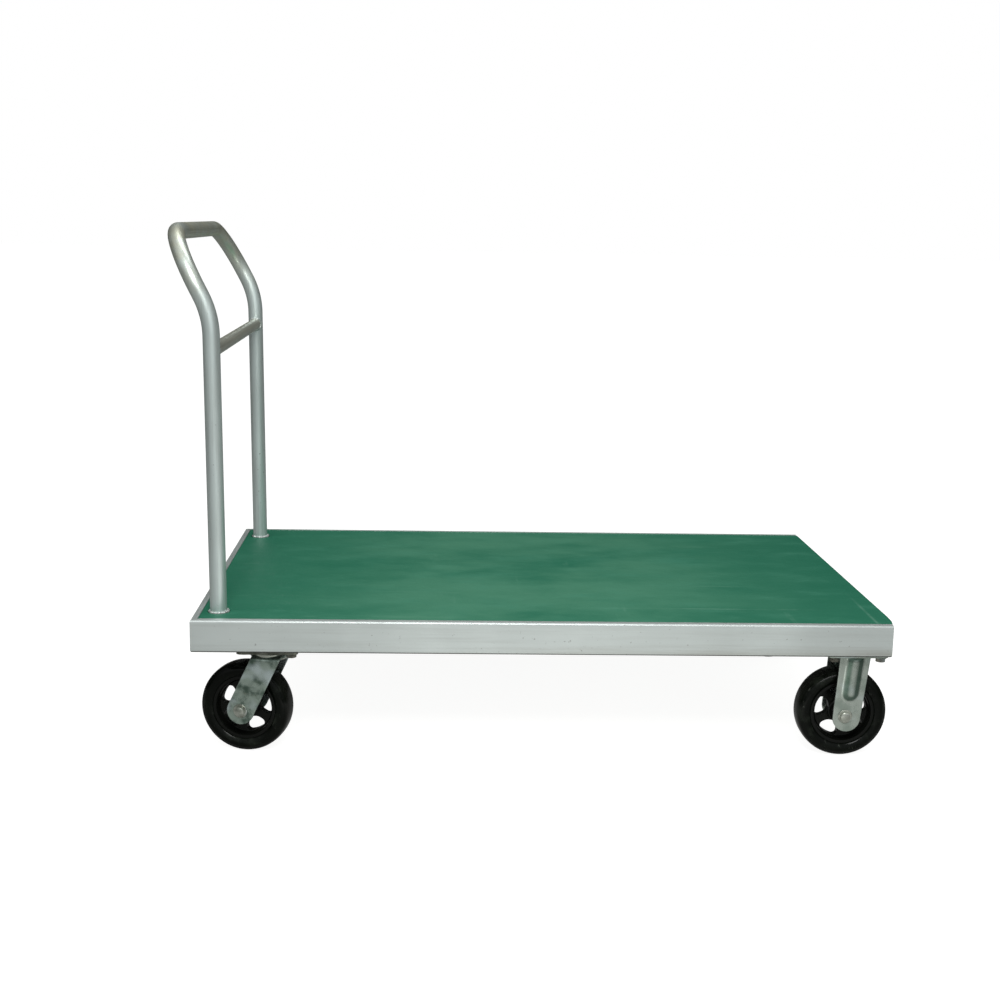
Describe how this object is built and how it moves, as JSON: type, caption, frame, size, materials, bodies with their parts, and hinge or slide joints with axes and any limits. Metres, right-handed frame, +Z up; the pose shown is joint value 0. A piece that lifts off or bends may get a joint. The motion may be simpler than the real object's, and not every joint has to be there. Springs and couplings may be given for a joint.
{
  "type": "platform cart",
  "caption": "Flat platform cart: steel-channel deck with a green mat, a welded bent-tube push handle, swivel casters at the handle end and rigid ones at the other.",
  "frame": {"origin": "on the floor under the centre of the cart's bounding box", "axes": "+X along the deck from the handle end to the loading end, +Y across the deck, +Z up"},
  "size_m": [1.2633, 0.75, 0.908],
  "materials": {
    "silver_paint": "silver-grey enamel with a soft metallic gloss and light scuffs",
    "green_mat": "green rubber-like sheet, satin, with cloudy scuff marks",
    "deck_steel": "plain rolled sheet, oiled",
    "zinc_plate": "pressed sheet, bright zinc plated, mottled blue-green grey",
    "bright_fastener": "bright zinc plated fasteners",
    "black_plastic": "moulded black core, semi gloss",
    "black_rubber": "solid black rubber, satin, dusty tread"
  },
  "bodies": {
    "cart_frame": {"side_rail_near": "silver_paint", "side_rail_far": "silver_paint", "end_rail_handle": "silver_paint", "end_rail_load": "silver_paint", "caster_beam_handle": "silver_paint", "caster_beam_load": "silver_paint", "handle_beam": "silver_paint", "stiffener_1": "silver_paint", "stiffener_2": "silver_paint", "deck_sheet": "deck_steel", "deck_mat": "green_mat", "handle_tube": "silver_paint", "handle_crossbar": "silver_paint", "plate_bolt_swivel_near_1": "bright_fastener", "plate_bolt_swivel_near_2": "bright_fastener", "plate_bolt_swivel_near_3": "bright_fastener", "plate_bolt_swivel_near_4": "bright_fastener", "plate_bolt_swivel_far_1": "bright_fastener", "plate_bolt_swivel_far_2": "bright_fastener", "plate_bolt_swivel_far_3": "bright_fastener", "plate_bolt_swivel_far_4": "bright_fastener", "plate_bolt_rigid_near_1": "bright_fastener", "plate_bolt_rigid_near_2": "bright_fastener", "plate_bolt_rigid_near_3": "bright_fastener", "plate_bolt_rigid_near_4": "bright_fastener", "plate_bolt_rigid_far_1": "bright_fastener", "plate_bolt_rigid_far_2": "bright_fastener", "plate_bolt_rigid_far_3": "bright_fastener", "plate_bolt_rigid_far_4": "bright_fastener", "swivel_plate_near": "zinc_plate", "kingpin_near": "bright_fastener", "rigid_fork_near": "zinc_plate", "swivel_plate_far": "zinc_plate", "kingpin_far": "bright_fastener", "rigid_fork_far": "zinc_plate", "axle_bolt_rigid_near": "bright_fastener", "axle_nut_rigid_near": "bright_fastener", "axle_sleeve_rigid_near": "bright_fastener", "axle_bolt_rigid_far": "bright_fastener", "axle_nut_rigid_far": "bright_fastener", "axle_sleeve_rigid_far": "bright_fastener"},
    "swivel_caster_near": {"swivel_fork_near": "zinc_plate", "swivel_balls_near": "bright_fastener", "axle_bolt_swivel_near": "bright_fastener", "axle_nut_swivel_near": "bright_fastener", "axle_sleeve_swivel_near": "bright_fastener"},
    "swivel_caster_far": {"swivel_fork_far": "zinc_plate", "swivel_balls_far": "bright_fastener", "axle_bolt_swivel_far": "bright_fastener", "axle_nut_swivel_far": "bright_fastener", "axle_sleeve_swivel_far": "bright_fastener"},
    "swivel_wheel_near": {"wheel_core_swivel_near": "black_plastic", "tyre_swivel_near": "black_rubber"},
    "swivel_wheel_far": {"wheel_core_swivel_far": "black_plastic", "tyre_swivel_far": "black_rubber"},
    "rigid_wheel_near": {"wheel_core_rigid_near": "black_plastic", "tyre_rigid_near": "black_rubber"},
    "rigid_wheel_far": {"wheel_core_rigid_far": "black_plastic", "tyre_rigid_far": "black_rubber"}
  },
  "joints": [
    {"name": "swivel_near", "type": "hinge", "parent": "cart_frame", "child": "swivel_caster_near", "pos_m": [-0.44711, -0.3, 0.18], "axis": [0, 0, 1], "continuous": true},
    {"name": "swivel_far", "type": "hinge", "parent": "cart_frame", "child": "swivel_caster_far", "pos_m": [-0.44711, 0.3, 0.18], "axis": [0, 0, 1], "continuous": true},
    {"name": "swivel_wheel_near_spin", "type": "hinge", "parent": "swivel_caster_near", "child": "swivel_wheel_near", "pos_m": [-0.49015, -0.29085, 0.08], "axis": [0.2079, 0.9781, 0], "continuous": true},
    {"name": "swivel_wheel_far_spin", "type": "hinge", "parent": "swivel_caster_far", "child": "swivel_wheel_far", "pos_m": [-0.49015, 0.30915, 0.08], "axis": [0.2079, 0.9781, 0], "continuous": true},
    {"name": "rigid_wheel_near_spin", "type": "hinge", "parent": "cart_frame", "child": "rigid_wheel_near", "pos_m": [0.55889, -0.3, 0.08], "axis": [0, 1, 0], "continuous": true},
    {"name": "rigid_wheel_far_spin", "type": "hinge", "parent": "cart_frame", "child": "rigid_wheel_far", "pos_m": [0.55889, 0.3, 0.08], "axis": [0, 1, 0], "continuous": true}
  ]
}
